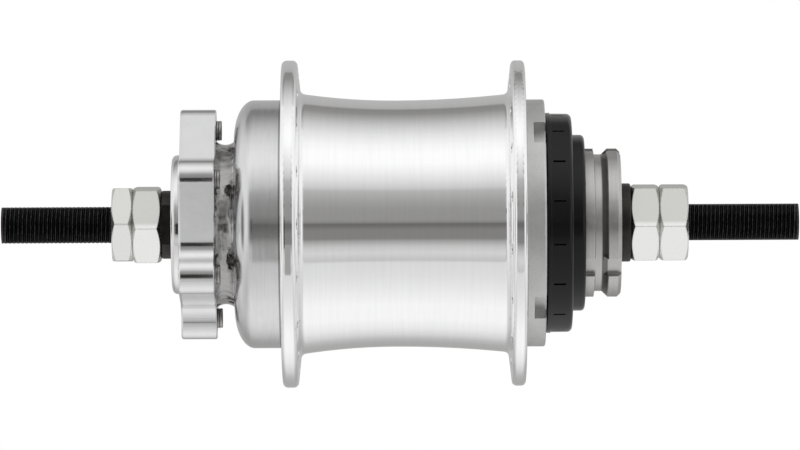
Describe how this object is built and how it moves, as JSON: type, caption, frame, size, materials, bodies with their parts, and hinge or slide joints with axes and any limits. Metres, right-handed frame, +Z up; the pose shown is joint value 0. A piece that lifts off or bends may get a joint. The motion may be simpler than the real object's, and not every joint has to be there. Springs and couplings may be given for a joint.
{
  "type": "bicycle hub gear",
  "caption": "Internally geared rear bicycle hub: a waisted polished shell between two spoke flanges, a star-shaped brake disc mount, a stepped driver and a threaded axle with locknuts.",
  "frame": {"origin": "on the axle, midway between the outer faces of the two outer locknuts", "axes": "+Y along the axle towards the drive side, +Z up, +X towards the side the hub is seen from, which is the rear of the bicycle"},
  "size_m": [0.0768, 0.187, 0.0768],
  "materials": {
    "axle_black": "black oxide, rolled thread",
    "cone_black": "black oxide, turned",
    "nut_zinc": "zinc plated, satin",
    "shell_polished": "polished, with fine rubbing marks round the barrel",
    "end_turned": "turned and brushed round the axle",
    "insert_steel": "plain steel, threaded",
    "ring_steel": "matte plated sintered steel",
    "driver_steel": "matte grey hardened steel",
    "black_plastic": "moulded, satin",
    "gear_steel": "ground hardened steel",
    "bearing_steel": "polished balls",
    "pressed_steel": "pressed sheet steel",
    "spring_steel": "drawn wire and strip"
  },
  "bodies": {
    "axle_set": {"axle": "axle_black", "sun_gear": "gear_steel", "left_cone": "cone_black", "left_cone_dust_cap": "pressed_steel", "left_locknut_inner": "nut_zinc", "left_locknut_outer": "nut_zinc", "right_cone": "cone_black", "right_cone_dust_cap": "pressed_steel", "right_locknut_inner": "nut_zinc", "right_locknut_outer": "nut_zinc", "clutch_spring": "spring_steel", "spring_cap": "pressed_steel"},
    "shell_set": {"hub_shell": "shell_polished", "disc_end": "end_turned", "disc_inserts": "insert_steel", "left_ball_cup": "gear_steel", "ball_ring": "ring_steel", "ball_ring_dust_cap": "pressed_steel"},
    "left_bearing": {"left_balls": "bearing_steel", "left_ball_retainer": "pressed_steel"},
    "ring_bearing": {"ring_balls": "bearing_steel"},
    "driver_bearing": {"driver_balls": "bearing_steel", "driver_ball_retainer": "pressed_steel"},
    "driver_set": {"driver": "driver_steel", "driver_dust_cap": "black_plastic", "driver_dust_seal": "black_plastic"},
    "clutch_set": {"clutch": "gear_steel"},
    "shift_key": {"axle_key": "gear_steel", "clutch_sleeve": "gear_steel", "thrust_ring": "gear_steel"},
    "planet_cage_set": {"planet_cage": "gear_steel", "planet_pins": "gear_steel", "low_pawl_pins": "gear_steel", "low_pawl_springs": "spring_steel"},
    "gear_ring_set": {"gear_ring": "gear_steel", "ring_pawl_pins": "gear_steel", "ring_pawl_springs": "spring_steel"},
    "planet_1": {"planet_gear_1": "gear_steel"},
    "planet_2": {"planet_gear_2": "gear_steel"},
    "planet_3": {"planet_gear_3": "gear_steel"},
    "planet_4": {"planet_gear_4": "gear_steel"},
    "low_pawl_1": {"low_pawl_1": "gear_steel"},
    "ring_pawl_1": {"ring_pawl_1": "gear_steel"},
    "low_pawl_2": {"low_pawl_2": "gear_steel"},
    "ring_pawl_2": {"ring_pawl_2": "gear_steel"}
  },
  "joints": [
    {"name": "hub_shell_spin", "type": "hinge", "parent": "axle_set", "child": "shell_set", "pos_m": [0, 0, 0], "axis": [0, 1, 0], "continuous": true},
    {"name": "gear_ring_spin", "type": "hinge", "parent": "axle_set", "child": "gear_ring_set", "pos_m": [0, 0, 0], "axis": [0, 1, 0], "continuous": true},
    {"name": "planet_cage_spin", "type": "hinge", "parent": "axle_set", "child": "planet_cage_set", "pos_m": [0, 0, 0], "axis": [0, 1, 0], "continuous": true},
    {"name": "driver_spin", "type": "hinge", "parent": "axle_set", "child": "driver_set", "pos_m": [0, 0, 0], "axis": [0, 1, 0], "continuous": true},
    {"name": "left_bearing_spin", "type": "hinge", "parent": "axle_set", "child": "left_bearing", "pos_m": [0, 0, 0], "axis": [0, 1, 0], "continuous": true},
    {"name": "ring_bearing_spin", "type": "hinge", "parent": "axle_set", "child": "ring_bearing", "pos_m": [0, 0, 0], "axis": [0, 1, 0], "continuous": true},
    {"name": "driver_bearing_spin", "type": "hinge", "parent": "axle_set", "child": "driver_bearing", "pos_m": [0, 0, 0], "axis": [0, 1, 0], "continuous": true},
    {"name": "planet_1_spin", "type": "hinge", "parent": "planet_cage_set", "child": "planet_1", "pos_m": [0.014, -0.0152, 0], "axis": [0, 1, 0], "continuous": true},
    {"name": "planet_2_spin", "type": "hinge", "parent": "planet_cage_set", "child": "planet_2", "pos_m": [0, -0.0152, -0.014], "axis": [0, 1, 0], "continuous": true},
    {"name": "planet_3_spin", "type": "hinge", "parent": "planet_cage_set", "child": "planet_3", "pos_m": [-0.014, -0.0152, 0], "axis": [0, 1, 0], "continuous": true},
    {"name": "planet_4_spin", "type": "hinge", "parent": "planet_cage_set", "child": "planet_4", "pos_m": [0, -0.0152, 0.014], "axis": [0, 1, 0], "continuous": true},
    {"name": "key_slide", "type": "slide", "parent": "axle_set", "child": "shift_key", "axis": [0, 1, 0], "range_m": [0, 0.004], "stiffness_N_per_m": 300, "springref_m": -0.02, "deforming": ["clutch_spring"]},
    {"name": "clutch_slide", "type": "slide", "parent": "driver_set", "child": "clutch_set", "axis": [0, 1, 0], "range_m": [0, 0.004]},
    {"name": "low_pawl_1_pivot", "type": "hinge", "parent": "planet_cage_set", "child": "low_pawl_1", "pos_m": [0.01188, -0.03065, -0.01188], "axis": [0, 1, 0], "range_deg": [0, 13]},
    {"name": "low_pawl_2_pivot", "type": "hinge", "parent": "planet_cage_set", "child": "low_pawl_2", "pos_m": [-0.01188, -0.03065, 0.01188], "axis": [0, 1, 0], "range_deg": [0, 13]},
    {"name": "ring_pawl_1_pivot", "type": "hinge", "parent": "gear_ring_set", "child": "ring_pawl_1", "pos_m": [0.0194, 0.0218, -0.0112], "axis": [0, 1, 0], "range_deg": [-13, 0], "stiffness_Nm_per_rad": 0.004, "springref_deg": 34.38},
    {"name": "ring_pawl_2_pivot", "type": "hinge", "parent": "gear_ring_set", "child": "ring_pawl_2", "pos_m": [-0.0194, 0.0218, 0.0112], "axis": [0, 1, 0], "range_deg": [-13, 0], "stiffness_Nm_per_rad": 0.004, "springref_deg": 34.38}
  ],
  "couplings": [
    {"joint": "gear_ring_spin", "follows": "hub_shell_spin", "ratio": 1},
    {"joint": "planet_cage_spin", "follows": "hub_shell_spin", "ratio": 0.75},
    {"joint": "driver_spin", "follows": "hub_shell_spin", "ratio": 0.75},
    {"joint": "left_bearing_spin", "follows": "hub_shell_spin", "ratio": 0.6123},
    {"joint": "ring_bearing_spin", "follows": "hub_shell_spin", "ratio": 0.8861},
    {"joint": "driver_bearing_spin", "follows": "hub_shell_spin", "ratio": 0.4592},
    {"joint": "planet_1_spin", "follows": "hub_shell_spin", "ratio": 0.75},
    {"joint": "planet_2_spin", "follows": "hub_shell_spin", "ratio": 0.75},
    {"joint": "planet_3_spin", "follows": "hub_shell_spin", "ratio": 0.75},
    {"joint": "planet_4_spin", "follows": "hub_shell_spin", "ratio": 0.75},
    {"joint": "clutch_slide", "follows": "key_slide", "ratio": 1}
  ]
}
